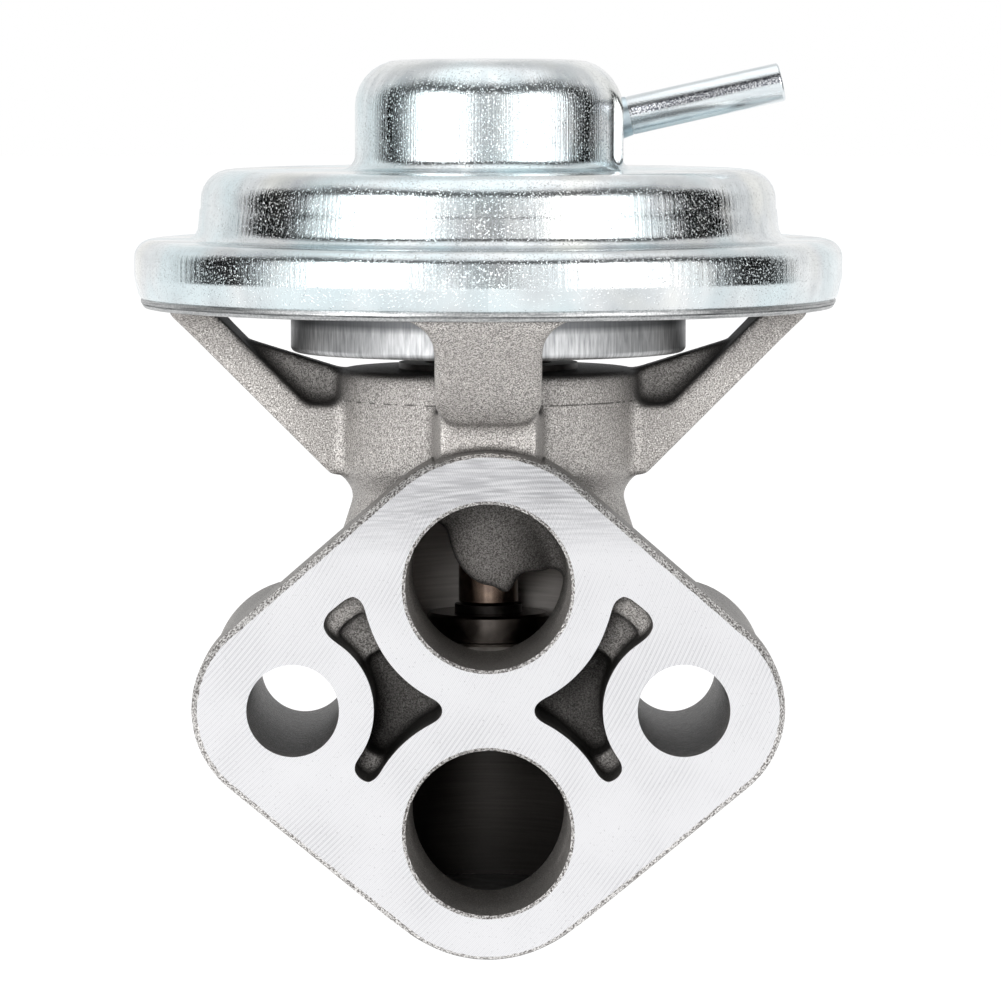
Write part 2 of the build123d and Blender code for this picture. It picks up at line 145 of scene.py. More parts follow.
def paintShade(tree, colour, reach, darkest, relief=None):
    # painted shade: darkens the colour towards #100F0E where the surface is closed in, by ambient occlusion;
    # reach is in millimetres
    hidden = addNode(tree, "ShaderNodeAmbientOcclusion", {"samples": 6, "Distance": reach * mm})
    share = remap(tree, hidden.outputs["AO"], 0.28, 0.92, 1.0 - darkest, 0.0)
    if relief:
        share = allOf(tree, share, relief)
    return mixColour(tree, share, colour, "#100F0E")


def facing(tree, axis):
    # how far the surface faces along an axis, from -1 to 1
    normal = addNode(tree, "ShaderNodeNewGeometry").outputs["Normal"]
    return addNode(tree, "ShaderNodeSeparateXYZ", {}, {"Vector": normal}).outputs[axis]


def floorShadeRelief(tree, place):
    # how much of the painted shade stays: it is lifted from floors that face the front, shallow ones most of
    # all, which light from the front reaches
    front = remap(tree, facing(tree, "Y"), -0.2, -0.8, 0.0, 1.0)
    depth = addNode(tree, "ShaderNodeSeparateXYZ", {}, {"Vector": place}).outputs["Y"]
    shallow = remap(tree, depth, 4 * mm, 12.5 * mm, 1.0, 0.1)
    return remap(tree, allOf(tree, front, shallow), 0, 1, 1, 0)


def bumpOf(tree, height, depth, strength=1.0, normal=None):
    links = {"Height": height}
    if normal:
        links["Normal"] = normal
    return addNode(tree, "ShaderNodeBump", {"Distance": depth * mm, "Strength": strength}, links).outputs[0]


def aroundAxis(tree, place, radius):
    # turns a place into (length along the girth, height), so that a pattern can run round a turned piece;
    # the girth is taken at a radius in millimetres
    split = addNode(tree, "ShaderNodeSeparateXYZ", {}, {"Vector": place}).outputs
    depth = addNode(tree, "ShaderNodeMath", {"operation": "SUBTRACT", 1: valveAxis.y}, {0: split["Y"]})
    angle = addNode(
        tree, "ShaderNodeMath", {"operation": "ARCTAN2"}, {0: split["X"], 1: depth.outputs[0]}
    )
    girth = addNode(
        tree, "ShaderNodeMath", {"operation": "MULTIPLY", 1: radius * mm}, {0: angle.outputs[0]}
    )
    return addNode(tree, "ShaderNodeCombineXYZ", {}, {"X": girth.outputs[0], "Z": split["Z"]}).outputs[0]


def partingLine(tree, place):
    # broken line round the neck where the halves of the die met
    height, reach = casting["partingHeight"] * mm, casting["partingReach"] * mm
    split = addNode(tree, "ShaderNodeSeparateXYZ", {}, {"Vector": place})
    off = addNode(tree, "ShaderNodeMath", {"operation": "SUBTRACT", 1: height}, {0: split.outputs["Z"]})
    off = addNode(tree, "ShaderNodeMath", {"operation": "ABSOLUTE"}, {0: off.outputs[0]})
    level = remap(tree, off.outputs[0], 0.05 * mm, 0.11 * mm, 0.8, 0.0)
    flat = {"Location": (0, -valveAxis.y, 0), "Scale": (1, 1, 0)}
    across = addNode(tree, "ShaderNodeMapping", flat, {"Vector": place})
    across = addNode(tree, "ShaderNodeVectorMath", {"operation": "LENGTH"}, {0: across.outputs[0]})
    near = remap(tree, across.outputs["Value"], reach, reach + 0.2 * mm, 1.0, 0.0)
    broken = remap(tree, noiseAt(tree, place, 0.7, 2.0), 0.42, 0.52, 0.0, 1.0)
    return allOf(tree, level, near, broken)


# Shot-blasted cast aluminium: warm grey and matt, with near-white specks painted in as the glints of peened
# grains, and painted shade where it is closed in or faces up
def shotBlastedAluminium(name="shotBlastedAluminium", coarseDepth=0.06, portShade=0.0, mottle=0.0):
    material, tree, place = newMaterial(name)
    grain = noiseAt(tree, place, 0.15, 3.0)
    coarse = noiseAt(tree, place, 0.6, 2.0)
    patches = noiseAt(tree, place, 6.0, 2.0)
    glintSpecks = noiseAt(tree, place, 0.13, 1.0)
    colour = mixColour(tree, remap(tree, grain, 0.40, 0.60, 0, 1), "#73706D", "#CFCBC7")
    colour = mixColour(tree, remap(tree, patches, 0.35, 0.65, 0, 0.3), colour, "#97928F")
    # painted highlight: near-white specks for the glints of the grains
    colour = mixColour(tree, remap(tree, glintSpecks, 0.64, 0.70, 0, 0.9), colour, "#FBF8F4")
    colour = mixColour(tree, remap(tree, coarse, 0.42, 0.58, 0, mottle), colour, "#4A4644")
    colour = mixColour(tree, partingLine(tree, place), colour, "#3A3735")
    # painted shade: darkens the casting that lies inside the upper port
    portShadeSettings = {"data_type": "RGBA", "Factor": portShade, 7: linear("#1C1817")}
    colour = addNode(tree, "ShaderNodeMix", portShadeSettings, {6: colour}).outputs[2]
    upFacingShade = remap(tree, facing(tree, "Z"), 0.3, 0.8, 0, 0.5)
    colour = mixColour(tree, upFacingShade, colour, "#2A2725")  # painted shade on faces that look up, which lie under the can
    # painted shade in recesses, lifted on floors that face the front
    colour = paintShade(tree, colour, 9.0, 0.08, floorShadeRelief(tree, place))
    colour = paintShade(tree, colour, 1.8, 0.35)  # painted shade in the inner corners and creases
    normal = bumpOf(tree, coarse, coarseDepth, 0.6)
    normal = bumpOf(tree, grain, 0.06, 1.0, normal)
    return finishMaterial(material, colour, normal, 0.55, 0.48)


def cutterArcs(tree, place, centre, pitch, waver):
    # rings round a point of the flange plane, given with their pitch in millimetres
    spot = (-centre[0] * mm, 0, -centre[1] * mm)
    moved = addNode(tree, "ShaderNodeMapping", {"Location": spot}, {"Vector": place})
    arcs = addNode(
        tree, "ShaderNodeTexWave",
        {"wave_type": "RINGS", "rings_direction": "Y", "Scale": 0.314 / (pitch * mm), "Distortion": waver,
         "Detail": 2.0, "Detail Scale": 0.05},
        {"Vector": moved.outputs[0]},
    )
    return arcs.outputs["Fac"]


# Face-milled aluminium: bright, with fine arcs left by the cutter and a faint swirl near the top edge
def milledAluminium():
    material, tree, place = newMaterial("milledAluminium")
    cutter = (-75, 48)
    fine = cutterArcs(tree, place, cutter, 0.16, 0.9)
    broad = cutterArcs(tree, place, cutter, 0.42, 1.4)
    swirl = cutterArcs(tree, place, (8, -52), 0.5, 2.0)
    split = addNode(tree, "ShaderNodeSeparateXYZ", {}, {"Vector": place})
    high = remap(tree, split.outputs["Z"], 15 * mm, 21 * mm, 0.0, 0.9)
    drags = remap(tree, noiseAt(tree, place, 0.28, 3.0, (0.07, 1, 1)), 0.42, 0.6, 0, 1)
    where = remap(tree, noiseAt(tree, place, 9.0, 2.0), 0.36, 0.66, 0.1, 1.0)
    lines = addNode(tree, "ShaderNodeMix", {}, {"Factor": high, "A": broad, "B": swirl}).outputs[0]
    lines = allOf(tree, lines, where)
    both = addNode(tree, "ShaderNodeMath", {"operation": "ADD"}, {0: lines, 1: fine}).outputs[0]
    specks = remap(tree, noiseAt(tree, place, 0.2, 2.0), 0.30, 0.36, 0.7, 0.0)
    ridge = mixColour(tree, high, "#EAEAEC", "#DEDEE0")
    ridge = mixColour(tree, allOf(tree, drags, high), ridge, "#BCBCBF")
    valley = mixColour(tree, high, "#C6C6C9", "#98989B")
    colour = mixColour(tree, remap(tree, both, 0.5, 1.9, 0, 1), ridge, valley)
    colour = mixColour(tree, specks, colour, "#B4B3B5")
    normal = bumpOf(tree, both, 0.003, 0.4)
    return finishMaterial(material, colour, normal, 1.0, 0.36)


# Bored aluminium inside the casting: fine turning marks, darkened by painted shade where it is closed in
def boredAluminium(name, dark, light, darkest):
    material, tree, place = newMaterial(name)
    wrapped = aroundAxis(tree, place, 9)
    rings = noiseAt(tree, wrapped, 0.25, 2.0, (0.03, 1, 1))
    colour = mixColour(tree, rings, dark, light)
    colour = paintShade(tree, colour, 14.0, darkest)
    normal = bumpOf(tree, rings, 0.01)
    return finishMaterial(material, colour, normal, 0.7, 0.42)


# The rough rim that the cutter leaves round the milled face: bright peened grains
def peenedLip():
    material, tree, place = newMaterial("peenedLip")
    grain = noiseAt(tree, place, 0.2, 3.0)
    colour = mixColour(tree, remap(tree, grain, 0.4, 0.6, 0, 1), "#6E6A68", "#F0EEEC")
    normal = bumpOf(tree, grain, 0.06)
    return finishMaterial(material, colour, normal, 0.8, 0.45)


# Bright zinc over drawn steel: a bluish mirror with upright draw lines and a fine orange peel
def brightZinc():
    material, tree, place = newMaterial("brightZinc")
    wrapped = aroundAxis(tree, place, 30)
    drawn = noiseAt(tree, wrapped, 0.4, 3.0, (1, 1, 0.015))
    peel = noiseAt(tree, place, 0.16, 3.0)
    specks = remap(tree, noiseAt(tree, place, 0.19, 1.0), 0.60, 0.74, 0, 1)
    # the draw lines run up the walls only; on the flat tops the sheet was merely stretched
    wall = remap(tree, facing(tree, "Z"), 0.55, 0.9, 1.0, 0.0)
    drawn = allOf(tree, drawn, wall)
    streaks = noiseAt(tree, wrapped, 5.0, 3.0, (1, 1, 0.5))
    clouds = noiseAt(tree, place, 7.0, 3.0)
    smears = addNode(tree, "ShaderNodeMix", {}, {"Factor": wall, "A": clouds, "B": streaks}).outputs[0]
    haze = noiseAt(tree, place, 11.0, 2.0)
    colour = mixColour(tree, remap(tree, smears, 0.35, 0.65, 0, 1), "#E6E9EA", "#C5CACD")
    colour = mixColour(tree, remap(tree, haze, 0.44, 0.62, 0, 0.7), colour, "#D6E6EA")
    colour = mixColour(tree, remap(tree, haze, 0.42, 0.30, 0, 0.4), colour, "#EBE9DF")
    rough = remap(tree, smears, 0.3, 0.7, 0.12, 0.24)
    normal = bumpOf(tree, drawn, 0.04, 0.8)
    normal = bumpOf(tree, peel, 0.017, 0.8, normal)
    normal = bumpOf(tree, specks, 0.025, 0.9, normal)
    return finishMaterial(material, colour, normal, 1.0, rough)


# The hem under the rim: zinc dulled by the rolling tool
def rolledHem():
    material, tree, place = newMaterial("rolledHem")
    wrapped = aroundAxis(tree, place, 35)
    rings = noiseAt(tree, wrapped, 0.12, 2.0, (0.02, 1, 1))
    grain = noiseAt(tree, place, 0.2, 3.0)
    colour = mixColour(tree, remap(tree, grain, 0.35, 0.65, 0, 1), "#9FA1A2", "#C9CACA")
    colour = mixColour(tree, remap(tree, rings, 0.52, 0.62, 0, 0.8), colour, "#77797A")
    normal = bumpOf(tree, grain, 0.02)
    return finishMaterial(material, colour, normal, 1.0, 0.42)


# The nipple's zinc over welded tube: the same mirror, with the grainy strip of the scraped weld in front
def drawnTube():
    material, tree, place = newMaterial("drawnTube")
    grain = noiseAt(tree, place, 0.15, 3.0)
    drags = noiseAt(tree, place, 0.5, 2.0, (0.08, 1, 1))
    colour = mixColour(tree, drags, "#EDF0F1", "#C9D3D8")
    foot, along = nippleLine()
    across = Vector((-along.z, 0, along.x))
    middle = foot.dot(across) * mm
    edges = [middle + edge * mm for edge in nipple["weld"]]
    slope = addNode(tree, "ShaderNodeVectorMath", {"operation": "DOT_PRODUCT", 1: across}, {0: place})
    low = remap(tree, slope.outputs["Value"], edges[0], edges[1], 0, 1)
    high = remap(tree, slope.outputs["Value"], edges[2], edges[3], 1, 0)
    split = addNode(tree, "ShaderNodeSeparateXYZ", {}, {"Vector": place})
    front = remap(tree, split.outputs["Y"], valveAxis.y - 0.1 * mm, valveAxis.y, 1, 0)
    scraped = mixColour(tree, remap(tree, grain, 0.40, 0.60, 0, 1), "#70747F", "#F4F6F9")
    colour = mixColour(tree, allOf(tree, low, high, front), colour, scraped)
    normal = bumpOf(tree, grain, 0.016, 0.8)
    normal = bumpOf(tree, drags, 0.012, 0.7, normal)
    return finishMaterial(material, colour, normal, 1.0, 0.2)


# Drawn mild steel with a thin dull plating
def drawnSteel():
    material, tree, place = newMaterial("drawnSteel")
    wrapped = aroundAxis(tree, place, 20)
    drawn = noiseAt(tree, wrapped, 0.3, 3.0, (1, 1, 0.12))
    grain = noiseAt(tree, place, 0.25, 2.0)
    colour = mixColour(tree, remap(tree, drawn, 0.32, 0.66, 0, 1), "#9C9D9F", "#CDCECF")
    height = addNode(tree, "ShaderNodeSeparateXYZ", {}, {"Vector": place}).outputs["Z"]
    # painted shadow: the top of the cup, under the can's rim, is darkened
    colour = mixColour(tree, remap(tree, height, 36.2 * mm, 36.9 * mm, 0, 0.8), colour, "#595B5E")
    normal = bumpOf(tree, drawn, 0.006, 0.7)
    normal = bumpOf(tree, grain, 0.012, 0.6, normal)
    return finishMaterial(material, colour, normal, 1.0, 0.46)


# Steel turned or ground round the valve axis, with heat tint
def turnedSteel(name, light, dark, roughness):
    material, tree, place = newMaterial(name)
    wrapped = aroundAxis(tree, place, 5)
    rings = noiseAt(tree, wrapped, 0.12, 2.0, (0.02, 1, 1))
    tint = noiseAt(tree, place, 2.0, 2.0)
    colour = mixColour(tree, remap(tree, tint, 0.35, 0.65, 0, 1), light, dark)
    normal = bumpOf(tree, rings, 0.003, 0.7)
    return finishMaterial(material, colour, normal, 1.0, roughness)


# Nitrile rubber over fabric: matt black with a faint weave
def fabricRubber():
    material, tree, place = newMaterial("fabricRubber")
    weave = noiseAt(tree, place, 0.5, 1.0)
    colour = mixColour(tree, weave, "#1A1A1B", "#2A2A2B")
    normal = bumpOf(tree, weave, 0.03, 0.5)
    return finishMaterial(material, colour, normal, 0.0, 0.7)


# Pressed graphite: dark grey with a soft sheen
def pressedGraphite():
    material, tree, place = newMaterial("pressedGraphite")
    grain = noiseAt(tree, place, 0.3, 2.0)
    colour = mixColour(tree, grain, "#2B2B2D", "#414144")
    normal = bumpOf(tree, grain, 0.02)
    return finishMaterial(material, colour, normal, 0.3, 0.5)


def flatten(piece):
    # turns what the modifiers make into the piece's own mesh
    bpy.context.view_layer.update()
    graph = bpy.context.evaluated_depsgraph_get()
    mesh = bpy.data.meshes.new_from_object(piece.evaluated_get(graph))
    piece.modifiers.clear()
    piece.data = mesh
    return piece


def addPiece(name, data):
    piece = bpy.data.objects.new(name, data)
    bpy.context.scene.collection.objects.link(piece)
    return piece


def pieceFrom(name, work):
    # a piece whose mesh is what was built in a bmesh
    mesh = bpy.data.meshes.new(name)
    work.to_mesh(mesh)
    work.free()
    return addPiece(name, mesh)


@contextmanager
def editing(mesh):
    # opens a mesh as a bmesh and puts it back
    work = bmesh.new()
    work.from_mesh(mesh)
    yield work
    work.to_mesh(mesh)
    work.free()


def mergedCopy(node, name):
    # a CAD node's mesh as one closed skin, in millimetres
    work = bmesh.new()
    work.from_mesh(nodes[node].data)
    bmesh.ops.transform(work, matrix=Matrix.Scale(1 / mm, 4), verts=work.verts)
    bmesh.ops.remove_doubles(work, verts=work.verts, dist=0.002)
    bmesh.ops.dissolve_degenerate(work, edges=work.edges, dist=0.0005)
    return pieceFrom(name, work)


def carve(piece, tool):
    change = piece.modifiers.new("carve", "BOOLEAN")
    change.operation = "DIFFERENCE"
    change.solver = "MANIFOLD"
    change.object = tool
    flatten(piece)
    bpy.data.objects.remove(tool)


def drill(name, radius, start, end, steps=160):
    # round bar between two points in millimetres
    start, end = Vector(start), Vector(end)
    work = bmesh.new()
    turn = (end - start).to_track_quat("Z", "Y").to_matrix().to_4x4()
    place = Matrix.Translation((start + end) / 2) @ turn
    length = (end - start).length
    bmesh.ops.create_cone(
        work, cap_ends=True, segments=steps, radius1=radius, radius2=radius, depth=length, matrix=place
    )
    return pieceFrom(name, work)


def addFilled(piece, tools):
    # puts more closed shells into a piece's own mesh; the voxel remesh joins them
    with editing(piece.data) as work:
        for tool in tools:
            work.from_mesh(tool.data)
            bpy.data.objects.remove(tool)


def coneBar(name, radii, depths, x, z):
    # closed bar along Y whose radius changes at the given depths
    outline = list(zip(radii, depths))
    return turned(name, [(0, depths[0])] + outline + [(0, depths[-1])], 160, Vector((x, 0, z)), "Y")


def turned(name, outline, steps, centre, axis="Z", shape=None):
    # turns (radius, height) points about an axis; points on the axis become one pole
    work = bmesh.new()
    rings = []
    for index, (radius, height) in enumerate(outline):
        count = 1 if radius < 1e-6 else steps
        ring = []
        for i in range(count):
            angle = 2 * math.pi * i / steps
            reach = shape(index, radius, height, math.remainder(angle, 2 * math.pi)) if shape else radius
            across, along = reach * math.cos(angle), reach * math.sin(angle)
            spot = (across, along, height) if axis == "Z" else (across, height, along)
            ring.append(work.verts.new(Vector(spot) + centre))
        rings.append(ring)
    closed = outline[0] != outline[-1] and len(rings[0]) > 1
    pairs = list(zip(rings, rings[1:])) + ([(rings[-1], rings[0])] if closed else [])
    for first, second in pairs:
        for i in range(steps):
            j = (i + 1) % steps
            corners = [ring[k % len(ring)] for ring, k in ((first, i), (first, j), (second, j), (second, i))]
            corners = list(dict.fromkeys(corners))  # at a pole two of them are one
            if len(corners) > 2:
                work.faces.new(corners)
    bmesh.ops.recalc_face_normals(work, faces=work.faces)
    return pieceFrom(name, work)


def block(name, low, high):
    work = bmesh.new()
    bmesh.ops.create_cube(work, size=1)
    size = Vector(high) - Vector(low)
    centre = (Vector(high) + Vector(low)) / 2
    place = Matrix.Translation(centre) @ Matrix.Diagonal((*size, 1))
    bmesh.ops.transform(work, matrix=place, verts=work.verts)
    return pieceFrom(name, work)


def upright(name, radius, bottom, top):
    axis = casting["axisDepth"]
    return drill(name, radius, (0, axis, bottom), (0, axis, top))


def revoxel(piece):
    remesh = piece.modifiers.new("cast", "REMESH")
    remesh.mode = "VOXEL"
    remesh.voxel_size = casting["voxel"]
    flatten(piece)


def ramp(values, start, width):
    # 0 before the start and 1 past the width; a negative width runs the other way
    return numpy.clip((values - start) / width, 0, 1)


def readSkin(mesh):
    # the places and the normals of a mesh's points, in rows
    places = numpy.empty(len(mesh.vertices) * 3, dtype=numpy.float32)
    normals = numpy.empty_like(places)
    mesh.vertices.foreach_get("co", places)
    mesh.vertices.foreach_get("normal", normals)
    return places.reshape(-1, 3), normals.reshape(-1, 3)


def writeSkin(mesh, places):
    mesh.vertices.foreach_set("co", places.ravel())
    mesh.update()


def swell(piece, amount):
    # moves a skin along its normals, but leaves the narrow pockets of the milled face as they are
    c = casting
    places, normals = readSkin(piece.data)
    above = ramp(places[:, 2], *c["swellAbove"])
    behind = ramp(places[:, 1], *c["swellBehind"])
    tongue = ramp(abs(places[:, 0]), *c["tongueSide"]) * ramp(places[:, 1], *c["tongueFront"])
    share = numpy.maximum(above, behind) * (1 - c["tongueHeld"] * tongue)
    places += normals * share[:, None] * amount
    writeSkin(piece.data, places)


def roundFlange(piece):
    # the casting's rounded edge, part of which is left standing round the milled face
    c = casting
    places, normals = readSkin(piece.data)
    near = numpy.flatnonzero(places[:, 1] < c["flangeDepth"])
    turns = numpy.linspace(0, 2 * math.pi, 360, endpoint=False)
    ways = numpy.stack([numpy.cos(turns), numpy.sin(turns)])
    reach = numpy.max([x * ways[0] + z * ways[1] + radius for x, z, radius in c["flange"]], axis=0)
    gaps = reach - places[near][:, [0, 2]] @ ways
    side = gaps.argmin(axis=1)
    depth = gaps[numpy.arange(len(near)), side]
    y, z = places[near, 1], places[near, 2]
    # never nearer to the outline than this, at each distance behind the milled face
    start = ramp(y, 0, c["edgeDepth"])
    inset = c["edgeInset"] * (1 - start) ** 2
    move = numpy.where((y < c["edgeDepth"]) & (depth > -0.5), numpy.maximum(inset - depth, 0), 0)
    wall = (abs(depth) < c["wallBand"]) & (abs(normals[near, 1]) < 0.5) & (z < c["wallTop"])
    fade = start * ramp(y, *c["wallBack"]) * ramp(z, *c["wallFoot"])
    move = numpy.where(wall, move - c["edgeProud"] * fade, move)
    places[near, 0] -= ways[0][side] * move
    places[near, 2] -= ways[1][side] * move
    # the pockets' upper ends reach a little further than their solids
    x = abs(places[near, 0])
    lobe = ramp(z, *c["pocketUp"]) * ramp(depth, *c["pocketIn"])
    lobe = lobe * ramp(x, *c["pocketOut"]) * ramp(y, *c["pocketFloor"]) * c["pocketReach"]
    out, up = c["pocketWay"]
    places[near, 0] += numpy.sign(places[near, 0]) * out * lobe
    places[near, 2] += up * lobe
    writeSkin(piece.data, places)


# The cast body: copied from the frame, given back its machining stock, softened and machined again
casting = {
    "voxel": 0.33,
    "smoothSteps": 3,
    "fillet": 0.8,
    "triangles": 185000,
    "stock": 1.2,
    "skin": 0.4,  # stock on the walls of bores
    "millTop": 26.3,
    "boltX": 19.0,
    "boltRadius": 4.5,
    "boltDepth": 40.0,
    "portZ": 12.0,
    "portRadius": 8.1,
    "portBackRadius": 7.4,
    "portStraight": 9.0,
    "portChamfer": 0.3,
    # the flange's corner circles: x, z, radius
    "flange": ((0, -12.0, 12.5), (19.0, 0, 9.7), (0, 12.0, 13.1), (-19.0, 0, 9.7)),
    "flangeDepth": 9.0,
    "edgeInset": 0.5,
    "edgeDepth": 0.95,
    "edgeProud": 0.2,
    "wallBand": 0.35,
    "wallTop": 24.0,
    "pocketReach": 0.6,
    "pocketWay": (0.35, 0.94),
    "tongueHeld": 0.8,
    # each of these is the start and the width of a ramp
    "swellAbove": (25.0, 2.0),
    "swellBehind": (8.0, 2.0),
    "tongueSide": (9.0, -2.0),
    "tongueFront": (12.0, -2.0),
    "wallBack": (9.0, -1.5),
    "wallFoot": (-23.0, 3.0),
    "pocketUp": (6.5, 2.5),
    "pocketIn": (3.0, 1.2),
    "pocketOut": (10.5, 1.5),
    "pocketFloor": (8.0, -2.0),
    "partingHeight": 29.0,
    "partingReach": 15.5,
    "axisDepth": 25.0,
    "chamberRadius": 8.8,
    "chamberBottom": 4.6,
    "chamberTop": 20.6,
    "seatRadius": 9.2,
    "guideRadius": 5.0,
    "sealRadius": 7.0,
    "sealBottom": 27.0,
    "neckTop": 32.0,
    "hoodDepth": (3.0, 24.0),  # the cast lip seen through the upper port
    "hoodReach": 8.6,
    "lipDepth": 0.75,  # the edge round the milled face
    "sharpAngle": 34.0,
}

axisFoot = Vector((0, casting["axisDepth"], 0))  # on the axis of the valve, in millimetres
bodyFinishes = ["castBody", "milledFace", "boredWall", "castLip", "seatBore", "coredHole", "hood"]


def bodyFinish(face):
    # a face's finish, from where it is and which way it faces
    c = casting
    middle, normal = face.calc_center_median(), face.normal
    across = math.hypot(middle.x, middle.y - c["axisDepth"])
    fromBolt = math.hypot(abs(middle.x) - c["boltX"], middle.z)
    level, onWall = abs(normal.z) < 0.05, 0.03
    if normal.y < -0.99 and abs(middle.y) < 0.01:
        return "milledFace"
    if level and abs(across - c["chamberRadius"]) < onWall and middle.z > 0:
        return "boredWall"
    if level and abs(across - c["seatRadius"]) < onWall and middle.z < c["chamberBottom"]:
        return "seatBore"
    if abs(fromBolt - c["boltRadius"]) < onWall:
        return "coredHole"
    front, back = c["hoodDepth"]
    inPort = math.hypot(middle.x, middle.z - c["portZ"]) < c["hoodReach"]
    if normal.y < -0.2 and front < middle.y < back and inPort:
        return "hood"
    if normal.y < -0.35 and middle.y < c["lipDepth"] and middle.z < c["millTop"]:
        return "castLip"
    return "castBody"


def makeBody():
    c = casting
    body = mergedCopy("valve_body", "cast_body")
    with editing(body.data) as work:
        front = [f for f in work.faces if f.normal.y < -0.9 and max(abs(v.co.y) for v in f.verts) < 0.01]
        grown = bmesh.ops.extrude_face_region(work, geom=front)
        moved = [v for v in grown["geom"] if isinstance(v, bmesh.types.BMVert)]
        bmesh.ops.translate(work, vec=(0, -c["stock"], 0), verts=moved)
        bmesh.ops.delete(work, geom=front, context="FACES")

    # stock where the cutters go, left open where the cast ports are
    skin, port, seam, top = c["skin"], c["portZ"], c["chamberBottom"], c["chamberTop"]
    tunnel = [c["portRadius"], c["portRadius"], c["portBackRadius"]], [-2, c["portStraight"], c["axisDepth"]]
    chamber = upright("chamberStock", c["chamberRadius"] + skin, seam - 2, top + skin)
    carve(chamber, coneBar("upperTunnel", *tunnel, 0, port))
    well = upright("wellStock", c["seatRadius"] + skin, bodyFoot + skin, seam - 3)
    carve(well, coneBar("lowerTunnel", *tunnel, 0, -port))
    neck = upright("neckStock", c["sealRadius"] + skin, top - skin, c["neckTop"] - skin)
    bolts = [
        drill("boltStock", c["boltRadius"] + skin, (x, 0.5, 0), (x, c["boltDepth"] - skin, 0))
        for x in (-c["boltX"], c["boltX"])
    ]
    addFilled(body, [chamber, well, neck, *bolts])

    # swelling the skin and shrinking it again leaves the fillets that a casting has in its inner corners
    revoxel(body)
    for amount in (c["fillet"], -c["fillet"]):
        swell(body, amount)
        revoxel(body)
    soften = body.modifiers.new("soften", "SMOOTH")
    soften.factor = 0.5
    soften.iterations = c["smoothSteps"]
    flatten(body)
    roundFlange(body)
    thin = body.modifiers.new("thin", "DECIMATE")
    thin.ratio = min(1, c["triangles"] / (2 * len(body.data.polygons)))
    flatten(body)
    print("cast:", len(body.data.polygons), "faces")

    # machining
    carve(body, block("mill", (-60, -20, -60), (60, 0, c["millTop"])))
    for x in (-c["boltX"], c["boltX"]):
        carve(body, drill("boltDrill", c["boltRadius"], (x, -5, 0), (x, c["boltDepth"] + 5, 0)))
    for z in (-port, port):
        lip, deep = c["portRadius"] + c["portChamfer"], c["portChamfer"] + 0.2
        carve(body, coneBar("portChamfer", (lip + 1, lip, c["portRadius"] - 0.2), (-1, 0, deep), 0, z))
    carve(body, upright("chamberBore", c["chamberRadius"], seam - 1, top))
    carve(body, upright("seatBore", c["seatRadius"], bodyFoot - 5, seam))
    carve(body, upright("guideBore", c["guideRadius"], top - 1, c["sealBottom"] + 1))
    carve(body, upright("sealBore", c["sealRadius"], c["sealBottom"], c["neckTop"] + 5))
    mesh = body.data
    print("machined:", len(mesh.polygons), "faces")

    mesh.materials.clear()
    for finish in bodyFinishes:
        mesh.materials.append(finishes[finish])
    with editing(mesh) as work:
        for face in work.faces:
            face.smooth = True
            face.material_index = bodyFinishes.index(bodyFinish(face))
        bmesh.ops.transform(work, matrix=Matrix.Scale(mm, 4), verts=work.verts)
    mesh.set_sharp_from_angle(angle=math.radians(c["sharpAngle"]))
    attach(body, "housing")
    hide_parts("valve_body")
    print("body made")


def settle(piece, finish, body, sharpAngle=32.0):
    # millimetres to metres, one finish, smooth shading with sharp edges kept, and the body it moves with
    mesh = piece.data
    mesh.transform(Matrix.Scale(mm, 4))
    mesh.materials.clear()
    mesh.materials.append(finishes[finish])
    mesh.shade_smooth()
    mesh.set_sharp_from_angle(angle=math.radians(sharpAngle))
    if body:
        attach(piece, body)


def rounded(corners, perArc=7):
    # a line of (radius, height) points through corners given as (radius, height, bend radius)
    line = []
    for i, (radius, height, bend) in enumerate(corners):
        here = Vector((radius, height))
        if bend == 0:
            line.append(here)
            continue
        before = (Vector(corners[i - 1][:2]) - here).normalized()
        after = (Vector(corners[(i + 1) % len(corners)][:2]) - here).normalized()
        half = before.angle(after) / 2
        centre = here + (before + after).normalized() * (bend / math.sin(half))
        first = here + before * (bend / math.tan(half)) - centre
        turn = first.angle_signed(here + after * (bend / math.tan(half)) - centre)
        for k in range(perArc + 1):
            line.append(centre + Matrix.Rotation(-turn * k / perArc, 2) @ first)
    return line


def inward(line, distance):
    # the same line moved to its right by the sheet's thickness
    moved = []
    for i, point in enumerate(line):
        way = (line[min(i + 1, len(line) - 1)] - line[max(i - 1, 0)]).normalized()
        moved.append(Vector((max(point.x + way.y * distance, 0), point.y - way.x * distance)))
    return moved


# The can: dome, tier and rim spun from one blank, with a pressed pad for the nipple and a hem under the rim
can = {
    "sheet": 1.0,
    "steps": 360,
    "corners": [
        (0, 63.1, 0), (6.0, 63.05, 0), (13.4, 62.85, 4.7), (13.4, 52.0, 1.5), (28.9, 52.0, 3.0),
        (28.92, 48.15, 0), (29.04, 47.95, 0), (29.3, 45.0, 1.4), (35.6, 45.0, 1.8), (35.6, 41.3, 2.0),
        (35.2, 39.6, 0), (35.05, 39.3, 0), (34.85, 39.14, 0), (34.95, 38.96, 0), (34.93, 38.72, 0),
        (34.75, 38.66, 0), (34.83, 38.56, 0), (34.6, 38.2, 0.25), (32.8, 38.2, 0),
    ],
    "hemTop": 39.22,
    "padFace": 13.5,
    "padHalf": 4.5,
    "padRound": 1.1,
    "padFoot": (52.0, 53.0),
    "padHead": (58.2, 60.6),
    "padReach": 16.0,  # only the dome inside this radius is pressed
    "spacing": 0.8,  # of the points along a straight run
}


def smooth(value, low, high):
    t = min(max((value - low) / (high - low), 0), 1)
    return t * t * (3 - 2 * t)


